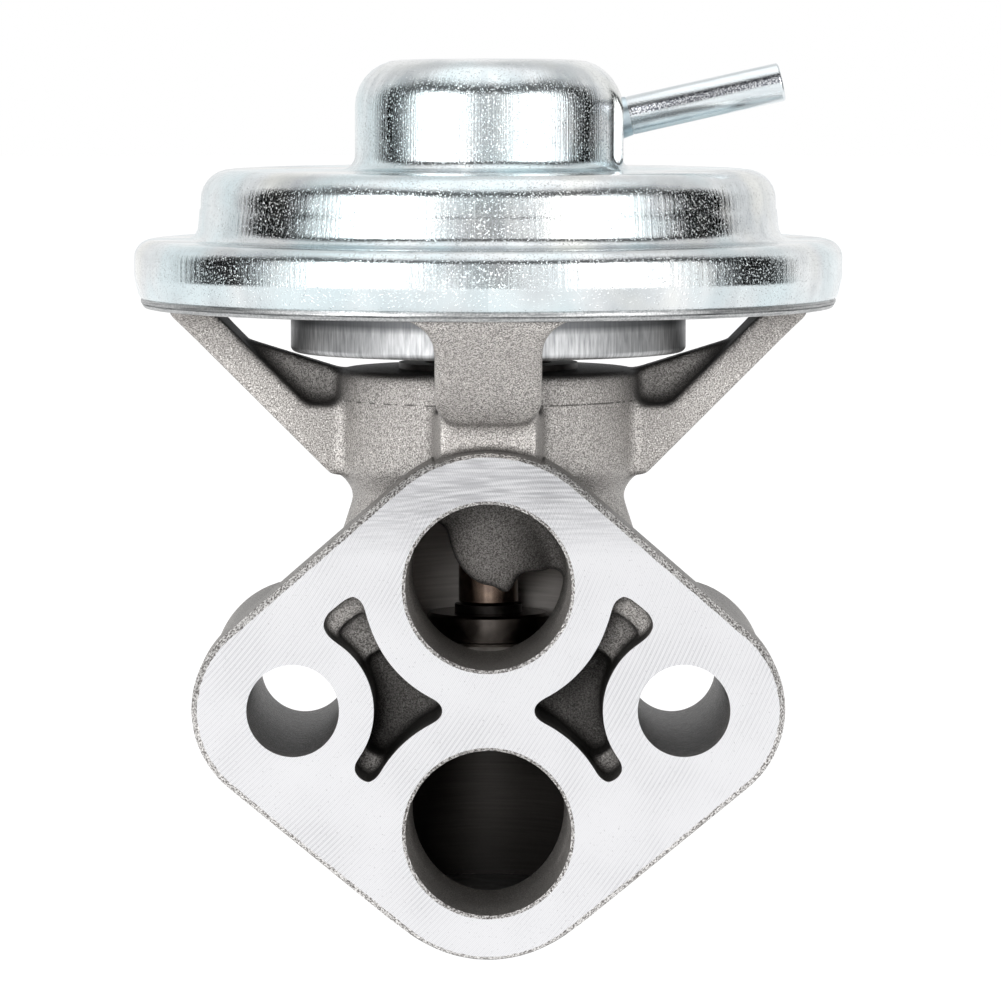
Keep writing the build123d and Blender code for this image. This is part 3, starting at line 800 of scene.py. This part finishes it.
def makeCan():
    c = can
    outer = []
    for first, second in zip(rounded(c["corners"]), rounded(c["corners"])[1:]):
        # long straight runs get points between, so that the pad can be pressed into them
        pieces = max(1, round((second - first).length / c["spacing"]))
        outer += [first.lerp(second, k / pieces) for k in range(pieces)]
    outer.append(Vector(c["corners"][-1][:2]))
    inner = inward(outer, c["sheet"])
    outline = [tuple(p) for p in outer] + [tuple(p) for p in reversed(inner)]

    def pressed(index, radius, height, angle):
        onDome = index < len(outer) and radius <= c["padReach"] and height >= c["padFoot"][0]
        if not onDome or math.cos(angle) < 0.5:
            return radius
        face = c["padFace"] / math.cos(angle)
        edge = smooth(abs(face * math.sin(angle)), c["padHalf"], c["padHalf"] + c["padRound"])
        share = smooth(height, *c["padFoot"]) * (1 - smooth(height, *c["padHead"])) * (1 - edge)
        return radius + max(face - radius, 0) * share

    skin = turned("upper_can", outline, c["steps"], axisFoot, "Z", pressed)
    foot, along = nippleLine()
    carve(skin, drill("pierce", nipple["root"][0] + 0.02, foot - along * 6, foot + along * 3, 64))
    settle(skin, "can", "housing", 40.0)
    skin.data.materials.append(finishes["hem"])
    for face in skin.data.polygons:
        if face.center.z < c["hemTop"] * mm:
            face.material_index = 1
    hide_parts("upper_cover")
    print("can made:", len(skin.data.polygons), "faces")


# The nipple: a tube cut off square, with its edges broken, and the braze at its root
nipple = {
    "tilt": 12.6,
    "rise": 5.2,
    "radius": 1.95,
    "bore": 1.2,
    "length": 16.4,
    "edge": 0.3,
    "root": (1.72, 2.2),  # radius and depth behind the pad
    "steps": 96,
    "brazeRadius": 2.1,
    "brazeHeight": 0.75,
    "weld": (-0.05, 0.05, 0.8, 0.9),  # where the scraped strip begins and ends above the tube's middle
}


def nippleLine():
    lean = math.radians(nipple["tilt"])
    foot = Vector((can["padFace"], casting["axisDepth"], can["padFoot"][0] + nipple["rise"]))
    return foot, Vector((math.cos(lean), 0, math.sin(lean)))


def makeNipple():
    n = nipple
    foot, along = nippleLine()
    place = Matrix.Translation(foot) @ along.to_track_quat("Z", "Y").to_matrix().to_4x4()
    tip, wall, (neck, deep) = n["length"], n["radius"], n["root"]
    bore = n["bore"]
    tubeLine = rounded([
        (bore, -deep, 0), (neck, -deep, 0), (neck, 0.2, 0), (wall, 0.9, 0), (wall, tip / 2, 0),
        (wall, tip, n["edge"]), (bore + 0.18, tip, 0.1), (bore, tip - 0.35, 0), (bore, tip / 2, 0),
    ])
    tube = turned("vacuum_tube", [tuple(p) for p in tubeLine], n["steps"], Vector())
    tube.data.transform(place)
    settle(tube, "tube", "housing")
    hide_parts("vacuum_nipple")

    high, wide = n["brazeHeight"], n["brazeRadius"]
    fillet = [(wall - 0.2, -1.0), (wide, -1.0), (wide, -0.3), (wide - 0.05, 0.05), (wide - 0.09, 0.34)]
    fillet += [(wide - 0.12, 0.55), (wall + 0.01, high - 0.06), (wall - 0.2, high)]
    braze = turned("braze_fillet", fillet, n["steps"], Vector())
    braze.data.transform(place)
    settle(braze, "braze", "housing", 50.0)
    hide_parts("nipple_braze")
    print("nipple made")


# Geometry Nodes: a tree is built here, run once, and its result kept as a plain mesh
def newTree(name, inputs):
    tree = bpy.data.node_groups.new(name, "GeometryNodeTree")
    face = tree.interface
    for label, kind in inputs.items():
        face.new_socket(label, in_out="INPUT", socket_type=kind)
    face.new_socket("Geometry", in_out="OUTPUT", socket_type="NodeSocketGeometry")
    return tree, addNode(tree, "NodeGroupInput").outputs


def runTree(name, tree, geometry, finish, values):
    solid = addNode(tree, "GeometryNodeRealizeInstances", {}, {"Geometry": geometry})
    paint = {"Material": finishes[finish]}
    painted = addNode(tree, "GeometryNodeSetMaterial", paint, {"Geometry": solid.outputs[0]})
    addNode(tree, "NodeGroupOutput", {}, {"Geometry": painted.outputs[0]})
    piece = addPiece(name, bpy.data.meshes.new(name))
    change = piece.modifiers.new(name, "NODES")
    change.node_group = tree
    sockets = {item.name: item.identifier for item in tree.interface.items_tree if item.in_out == "INPUT"}
    for label, value in values.items():
        change[sockets[label]] = value
    return flatten(piece)


# The return spring: round wire, its end turns closed so that they lie flat on their seats
spring = {
    "turns": 5.5,
    "radius": 9.8,
    "wire": 1.7,
    "bottom": 43.8,
    "top": 61.1,
    "closed": 0.1,
}


def makeSpring():
    s = spring
    sizes = {
        "Turns": s["turns"], "Coil Radius": s["radius"], "Wire Radius": s["wire"] / 2,
        "Bottom": s["bottom"], "Top": s["top"], "Closed Share": s["closed"],
    }
    tree, given = newTree("coilSpring", dict.fromkeys(sizes, "NodeSocketFloat"))
    radius = given["Coil Radius"]
    spiral = addNode(
        tree, "GeometryNodeCurveSpiral", {"Resolution": 48, "Height": 0.0},
        {"Rotations": given["Turns"], "Start Radius": radius, "End Radius": radius},
    )
    way = addNode(tree, "GeometryNodeSplineParameter").outputs["Factor"]
    opened = addNode(tree, "ShaderNodeMath", {"operation": "SUBTRACT", 0: 1.0}, {1: given["Closed Share"]})
    thick = given["Wire Radius"]
    low = addNode(tree, "ShaderNodeMath", {"operation": "ADD"}, {0: given["Bottom"], 1: thick})
    high = addNode(tree, "ShaderNodeMath", {"operation": "SUBTRACT"}, {0: given["Top"], 1: thick})
    level = addNode(tree, "ShaderNodeMapRange", {}, {
        "Value": way, "From Min": given["Closed Share"], "From Max": opened.outputs[0],
        "To Min": low.outputs[0], "To Max": high.outputs[0],
    })
    lift = addNode(tree, "ShaderNodeCombineXYZ", {"Y": casting["axisDepth"]}, {"Z": level.outputs[0]})
    wound = addNode(
        tree, "GeometryNodeSetPosition", {}, {"Geometry": spiral.outputs[0], "Offset": lift.outputs[0]}
    )
    section = addNode(tree, "GeometryNodeCurvePrimitiveCircle", {"Resolution": 20}, {"Radius": thick})
    wire = addNode(
        tree, "GeometryNodeCurveToMesh", {"Fill Caps": True},
        {"Curve": wound.outputs[0], "Profile Curve": section.outputs[0]},
    )
    coil = runTree("coil_spring", tree, wire.outputs[0], "wire", sizes)
    with editing(coil.data) as work:
        bmesh.ops.recalc_face_normals(work, faces=work.faces)
    settle(coil, "wire", None)
    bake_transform(coil)
    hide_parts("return_spring")
    print("spring made:", len(coil.data.polygons), "faces")


# The cover screws: pan heads with a cross recess, set out on a circle
screws = {
    "count": 4,
    "circle": 29.0,
    "seat": 40.2,
    "headRadius": 2.2,
    "headHeight": 1.4,
    "shankRadius": 1.25,
    "shankLength": 3.0,
    "recess": 0.6,
    "cross": (1.1, 0.28),  # half the length and half the width of a bar of the cross
}


def makeScrews():
    s = screws
    head, top = s["headRadius"], s["headHeight"]
    outline = rounded([
        (0, top, 0), (head, top, 0.6), (head, 0, 0), (s["shankRadius"], 0, 0),
        (s["shankRadius"], -s["shankLength"] + 0.3, 0), (s["shankRadius"] - 0.3, -s["shankLength"], 0),
        (0, -s["shankLength"], 0),
    ], 4)
    one = turned("pan_screw", [tuple(p) for p in outline], 48, Vector())
    for x, y in (s["cross"], s["cross"][::-1]):
        carve(one, block("cross", (-x, -y, top - s["recess"]), (x, y, top + 1)))
    tree, given = newTree("screwCircle", {
        "Screw": "NodeSocketObject", "Count": "NodeSocketInt",
        "Circle": "NodeSocketFloat", "Seat": "NodeSocketFloat",
    })
    ring = addNode(
        tree, "GeometryNodeMeshCircle", {}, {"Vertices": given["Count"], "Radius": given["Circle"]}
    )
    places = addNode(tree, "GeometryNodeMeshToPoints", {}, {"Mesh": ring.outputs[0]})
    source = addNode(tree, "GeometryNodeObjectInfo", {}, {"Object": given["Screw"]})
    copies = addNode(
        tree, "GeometryNodeInstanceOnPoints", {},
        {"Points": places.outputs[0], "Instance": source.outputs["Geometry"]},
    )
    lift = addNode(tree, "ShaderNodeCombineXYZ", {"Y": casting["axisDepth"]}, {"Z": given["Seat"]})
    moved = addNode(
        tree, "GeometryNodeTransform", {}, {"Geometry": copies.outputs[0], "Translation": lift.outputs[0]}
    )
    four = runTree("pan_screws", tree, moved.outputs[0], "plated", {
        "Screw": one, "Count": s["count"], "Circle": s["circle"], "Seat": s["seat"],
    })
    bpy.data.objects.remove(one)
    settle(four, "plated", "housing")
    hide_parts("cover_screws")
    print("screws made:", len(four.data.polygons), "faces")


# The diaphragm: a clamped bead, a centre and a rolling fold between them, the centre and fold cut into
# sectors
rubber = {
    "sheet": 0.8,
    "hole": 2.7,
    "floor": 42.8,
    "rollInner": 23.1,
    "rollOuter": 27.3,
    "crest": 46.8,
    "upFacingShade": 43.6,
    "beadInner": 31.3,
    "beadOuter": 33.7,
    "beadBottom": 40.2,
    "beadTop": 44.0,
    "sectors": 12,
    "steps": 240,
}


def makeDiaphragm():
    r = rubber
    start, end = r["rollInner"], r["rollOuter"]
    line = rounded([
        (r["hole"], r["floor"], 0), (start, r["floor"], 0.6), (start, r["crest"], 1.8),
        (end, r["crest"], 1.8), (end, r["upFacingShade"], 0.6), (r["beadInner"] + 0.4, r["upFacingShade"], 0),
    ])
    under = inward(line, r["sheet"])
    skin = [tuple(p) for p in line] + [tuple(p) for p in reversed(under)]
    whole = turned("fold", skin, r["steps"], axisFoot)
    bead = rounded([
        (r["beadInner"], r["beadTop"], 0.4), (r["beadOuter"], r["beadTop"], 0.4),
        (r["beadOuter"], r["beadBottom"], 0.4), (r["beadInner"], r["beadBottom"], 0.4),
    ], 3)
    end *= math.cos(math.pi / r["sectors"])
    for k in range(r["sectors"]):
        part = addPiece(f"diaphragm_fold_{k + 1:02d}", whole.data.copy())
        with editing(part.data) as work:
            far = []
            for face in work.faces:
                middle = face.calc_center_median()
                turn = math.atan2(middle.y - casting["axisDepth"], middle.x) % (2 * math.pi)
                if int(turn / (2 * math.pi) * r["sectors"]) != k:
                    far.append(face)
            bmesh.ops.delete(work, geom=far, context="FACES")
        settle(part, "rubber", None, 50.0)
        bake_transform(part)
        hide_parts("diaphragm")
    bpy.data.objects.remove(whole)
    clamped = turned("diaphragm_bead", [tuple(p) for p in bead], r["steps"], axisFoot)
    settle(clamped, "rubber", "housing")
    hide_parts("diaphragm")
    print("diaphragm made")


# Studio: a white floor, an even white world for the camera and for reflections, and soft lamps
studio = {
    "floorDrop": 0.0004,
    "floorSize": 8.0,
    "floorColour": "#FFFFFF",
    "floorShadow": 0.15,
    "floorGlow": 1.22,
    "fill": (0.55, 0.12),  # what the world gives from the horizon and from above
    "softboxes": [
        # azimuth from the camera, elevation, distance, width, height, power, seen in reflections
        (-42, 14, 0.9, 0.42, 0.7, 5.2, True),
        (42, 14, 0.9, 0.42, 0.7, 3.3, True),
        (-8, 8, 0.6, 0.10, 0.10, 3.0, False),
    ],
    "ceiling": 1.4,  # brightness of the ceiling in reflections
    "ceilingEdge": (0.86, 0.93),  # rise at which it starts
    "fillEdge": (0.05, 0.55),
    "behind": (-0.05, 0.25, 0.0, 0.8),  # behind the object the gap in the ceiling is closed by this much
    "cards": [
        # azimuth, width in degrees, distance, top above the floor, brightness
        (-92, 34, 0.40, 0.36, 0.0),
        (92, 34, 0.40, 0.36, 0.0),
        (0, 13, 0.45, 0.30, 0.35),
    ],
    "skyGap": [(0.0, 1.0), (0.50, 1.0), (0.58, 0.12), (0.80, 0.12), (0.88, 1.0), (1.0, 1.0)],
}


def quad(name, corners):
    mesh = bpy.data.meshes.new(name)
    mesh.from_pydata(corners, [], [(0, 1, 2, 3)])
    piece = addPiece(name, mesh)
    return piece


def seenRays(tree):
    # the camera's own rays, and those together with the ones that reflections follow
    rays = addNode(tree, "ShaderNodeLightPath").outputs
    eye, shine = rays["Is Camera Ray"], rays["Is Glossy Ray"]
    return eye, addNode(tree, "ShaderNodeMath", {"operation": "MAXIMUM"}, {0: eye, 1: shine}).outputs[0]


def makeFloor(low):
    half = studio["floorSize"] / 2
    floor = quad("floor", [(-half, -half, low), (half, -half, low), (half, half, low), (-half, half, low)])
    material, tree = newMaterial("paperFloor")[:2]
    seen = seenRays(tree)[1]
    paper = addNode(tree, "ShaderNodeBsdfDiffuse", {"Color": linear(studio["floorColour"])})
    glow = addNode(
        tree, "ShaderNodeEmission", {"Color": linear(studio["floorColour"]), "Strength": studio["floorGlow"]}
    )
    lit = {"operation": "MULTIPLY", 1: 1 - studio["floorShadow"]}
    share = addNode(tree, "ShaderNodeMath", lit, {0: seen})
    both = addNode(
        tree, "ShaderNodeMixShader", {}, {0: share.outputs[0], 1: paper.outputs[0], 2: glow.outputs[0]}
    )
    addNode(tree, "ShaderNodeOutputMaterial", {}, {"Surface": both.outputs[0]})
    floor.data.materials.append(material)


def makeWorld():
    world = bpy.data.worlds.new("studioWorld")
    bpy.context.scene.world = world
    world.use_nodes = True
    tree = world.node_tree
    tree.nodes.clear()
    eye, seen = seenRays(tree)
    # reflections see a dark gap in the ceiling between the front softboxes and the bright top of the world
    way = addNode(tree, "ShaderNodeTexCoord").outputs["Generated"]
    axes = addNode(tree, "ShaderNodeSeparateXYZ", {}, {"Vector": way}).outputs
    rise = axes["Z"]
    gap = addNode(tree, "ShaderNodeValToRGB", {}, {"Fac": rise})
    stops = gap.color_ramp.elements
    for i, (spot, level) in enumerate(studio["skyGap"]):
        stop = stops[i] if i < 2 else stops.new(spot)
        stop.position = spot
        stop.color = (level, level, level, 1)
    behind = remap(tree, axes["Y"], *studio["behind"])
    pale = addNode(tree, "ShaderNodeMix", {"B": 1.0}, {"Factor": behind, "A": gap.outputs[0]}).outputs[0]
    pale = allOf(tree, pale, remap(tree, rise, *studio["ceilingEdge"], 1.0, studio["ceiling"]))
    shine = addNode(tree, "ShaderNodeMath", {"operation": "MAXIMUM"}, {0: eye, 1: pale}).outputs[0]
    ambient = remap(tree, rise, *studio["fillEdge"], *studio["fill"])
    fill = addNode(tree, "ShaderNodeMix", {}, {"Factor": seen, "A": ambient, "B": shine})
    sky = addNode(tree, "ShaderNodeBackground", {"Color": (1, 1, 1, 1)}, {"Strength": fill.outputs[0]})
    addNode(tree, "ShaderNodeOutputWorld", {}, {"Surface": sky.outputs[0]})


def makeCards(low):
    # flat cards that only reflections see
    for azimuth, width, distance, top, level in studio["cards"]:
        a = math.radians(azimuth)
        way = Vector((math.sin(a), -math.cos(a), 0))
        side = Vector((way.y, -way.x, 0)) * distance * math.tan(math.radians(width / 2))
        foot = valveAxis + way * distance
        foot.z = low
        head = Vector((0, 0, top))
        card = quad("card", [foot - side, foot + side, foot + side + head, foot - side + head])
        material, tree = newMaterial("card")[:2]
        glow = addNode(tree, "ShaderNodeEmission", {"Color": (level, level, level, 1)})
        addNode(tree, "ShaderNodeOutputMaterial", {}, {"Surface": glow.outputs[0]})
        card.data.materials.append(material)
        card.visible_camera = False
        card.visible_diffuse = False
        card.visible_shadow = False
        card.visible_transmission = False


def makeLamps():
    for azimuth, elevation, distance, width, height, power, mirrored in studio["softboxes"]:
        lamp = bpy.data.lights.new("softbox", "AREA")
        lamp.shape = "RECTANGLE"
        lamp.size = width
        lamp.size_y = height
        lamp.energy = power
        a, e = math.radians(azimuth), math.radians(elevation)
        way = Vector((math.sin(a) * math.cos(e), -math.cos(a) * math.cos(e), math.sin(e)))
        holder = addPiece("softbox", lamp)
        holder.location = valveAxis + way * distance
        holder.rotation_euler = way.to_track_quat("Z", "Y").to_euler()
        holder.visible_glossy = mirrored


camera = {
    "place": (0.0, -0.577, 0.0651),
    "target": (0.00118, 0.0, 0.0205),
    "lens": 215.0,
}


def makeCamera():
    lens = bpy.data.cameras.new("camera")
    lens.lens = camera["lens"]
    lens.sensor_width = 36
    lens.clip_start = 0.01
    eye = addPiece("camera", lens)
    eye.location = camera["place"]
    way = Vector(camera["target"]) - Vector(camera["place"])
    eye.rotation_euler = way.to_track_quat("-Z", "Y").to_euler()
    bpy.context.scene.camera = eye


finishes = {
    "castBody": shotBlastedAluminium(),
    "milledFace": milledAluminium(),
    "boredWall": boredAluminium("boredAluminium", "#A19C98", "#DAD5D1", 0.85),
    # painted shade: the seat bore deep in the well is a darker copy of the bored wall
    "seatBore": boredAluminium("shadedBoredAluminium", "#3A3735", "#5A5653", 0.12),
    "coredHole": shotBlastedAluminium("coredAluminium", 0.2, 0.0, 0.7),
    # painted shade: the casting inside the upper port is darkened
    "hood": shotBlastedAluminium("portShadedCasting", 0.12, 0.5),
    "castLip": peenedLip(),
    "can": brightZinc(),
    "hem": rolledHem(),
    "tube": drawnTube(),
    "cup": drawnSteel(),
    "stem": turnedSteel("groundStemSteel", "#9A877A", "#6C5C53", 0.24),
    "head": turnedSteel("turnedHeadSteel", "#77706B", "#514B47", 0.26),
    "seat": turnedSteel("turnedSeatSteel", "#A8A39E", "#7C7772", 0.3),
    "bush": turnedSteel("sinteredIron", "#5A5652", "#3E3B39", 0.55),
    "plated": turnedSteel("platedSteel", "#C9CDD1", "#A8ADB3", 0.28),
    # painted shade: the seal retainer on the neck's top is dark steel for the shade under the can; the head
    # collar shares this dark finish
    "retainer": turnedSteel("darkSteel", "#4A4745", "#2C2A29", 0.42),
    "wire": turnedSteel("springSteel", "#6A6A6C", "#4C4C4E", 0.35),
    "braze": turnedSteel("zincOverBraze", "#CFDDE3", "#A7B2B8", 0.3),
    "rubber": fabricRubber(),
    "graphite": pressedGraphite(),
}
nodeFinishes = {
    "valve_body": "castBody",
    "valve_seat": "seat",
    "core_plug": "plated",
    "guide_bush": "bush",
    "stem_seal": "graphite",
    "seal_retainer": "retainer",
    "valve_stem": "stem",
    "valve_head": "head",
    "head_collar": "retainer",
    "lower_cover": "cup",
    "cover_screws": "plated",
    "diaphragm": "rubber",
    "lower_plate": "plated",
    "upper_plate": "plated",
    "plate_washer": "plated",
    "stem_nut": "plated",
    "return_spring": "wire",
    "spring_seat": "plated",
    "upper_cover": "can",
    "vacuum_nipple": "can",
    "nipple_braze": "braze",
}
for name, finish in nodeFinishes.items():
    nodes[name].data.materials.clear()
    nodes[name].data.materials.append(finishes[finish])
print("materials made:", len(finishes))

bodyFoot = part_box("valve_body")[0].z / mm
makeBody()
makeCan()
makeNipple()
makeSpring()
makeScrews()
makeDiaphragm()
ground = cadBox[0].z - studio["floorDrop"]
makeFloor(ground)
makeWorld()
makeCards(ground)
makeLamps()
makeCamera()
bpy.context.scene.view_settings.view_transform = "Standard"
print("studio and camera made")
